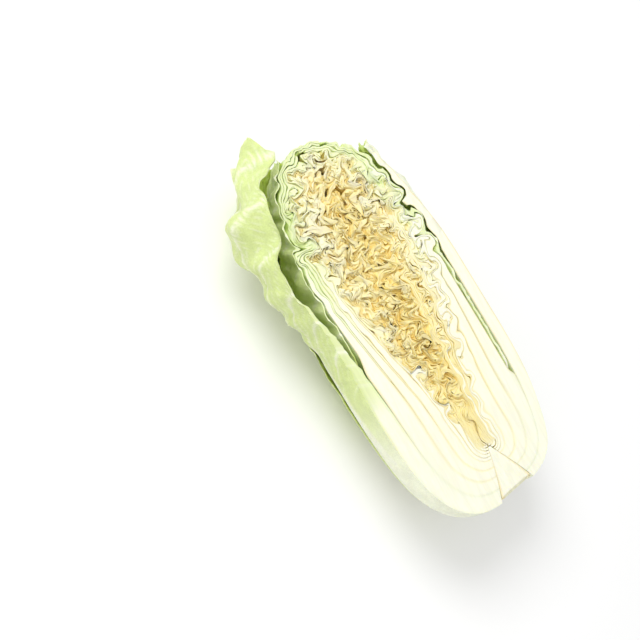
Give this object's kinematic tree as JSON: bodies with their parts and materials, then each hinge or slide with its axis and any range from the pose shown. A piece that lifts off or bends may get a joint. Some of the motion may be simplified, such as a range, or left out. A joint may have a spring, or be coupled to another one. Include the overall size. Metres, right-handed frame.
{
  "type": "halved napa cabbage",
  "caption": "Half of a napa cabbage cut lengthwise through its core, lying on its round back with the nested leaves and yellow heart facing up.",
  "frame": {"origin": "centre of the bounding box, at the height of the surface that the half head lies on", "axes": "+Z out of the cut face, away from the surface; +Y along the head from the butt to the leaf tips; +X towards the right edge of the cut when the tips point up"},
  "size_m": [0.155, 0.2948, 0.0755],
  "materials": {
    "core": "moist cream stump, satin",
    "back_leaf_outer": "light green blade with white stalk and veins, satin",
    "back_leaf_inner": "pale green blade with white stalk, satin",
    "wrapper_leaf_left": "light green blade with white stalk and veins, satin",
    "wrapper_leaf_right": "light green blade with white stalk and veins, satin",
    "left_leaf_2": "pale green blade with white stalk, satin",
    "right_leaf_2": "pale green blade with white stalk, satin",
    "left_leaf_3": "greenish white stalk and blade, satin",
    "right_leaf_3": "greenish white stalk and blade, satin",
    "left_leaf_4": "cream stalk and blade, satin",
    "right_leaf_4": "cream stalk and blade, satin",
    "heart_leaf_left_1": "crisp yellow heart leaf, softly glossy and translucent",
    "heart_leaf_right_1": "crisp yellow heart leaf, softly glossy and translucent",
    "heart_leaf_left_2": "crisp yellow heart leaf, softly glossy and translucent",
    "heart_leaf_right_2": "crisp yellow heart leaf, softly glossy and translucent",
    "heart_leaf_left_3": "crisp yellow heart leaf, softly glossy and translucent",
    "heart_leaf_right_3": "crisp yellow heart leaf, softly glossy and translucent",
    "heart_leaf_left_4": "crisp yellow heart leaf, softly glossy and translucent",
    "heart_leaf_right_4": "crisp yellow heart leaf, softly glossy and translucent",
    "heart_leaf_left_5": "crisp yellow heart leaf, softly glossy and translucent",
    "heart_leaf_right_5": "crisp yellow heart leaf, softly glossy and translucent"
  },
  "bodies": {
    "root": {"core": "core", "back_leaf_outer": "back_leaf_outer", "back_leaf_inner": "back_leaf_inner", "wrapper_leaf_left": "wrapper_leaf_left", "wrapper_leaf_right": "wrapper_leaf_right", "left_leaf_2": "left_leaf_2", "right_leaf_2": "right_leaf_2", "left_leaf_3": "left_leaf_3", "right_leaf_3": "right_leaf_3", "left_leaf_4": "left_leaf_4", "right_leaf_4": "right_leaf_4", "heart_leaf_left_1": "heart_leaf_left_1", "heart_leaf_right_1": "heart_leaf_right_1", "heart_leaf_left_2": "heart_leaf_left_2", "heart_leaf_right_2": "heart_leaf_right_2", "heart_leaf_left_3": "heart_leaf_left_3", "heart_leaf_right_3": "heart_leaf_right_3", "heart_leaf_left_4": "heart_leaf_left_4", "heart_leaf_right_4": "heart_leaf_right_4", "heart_leaf_left_5": "heart_leaf_left_5", "heart_leaf_right_5": "heart_leaf_right_5"}
  },
  "joints": []
}
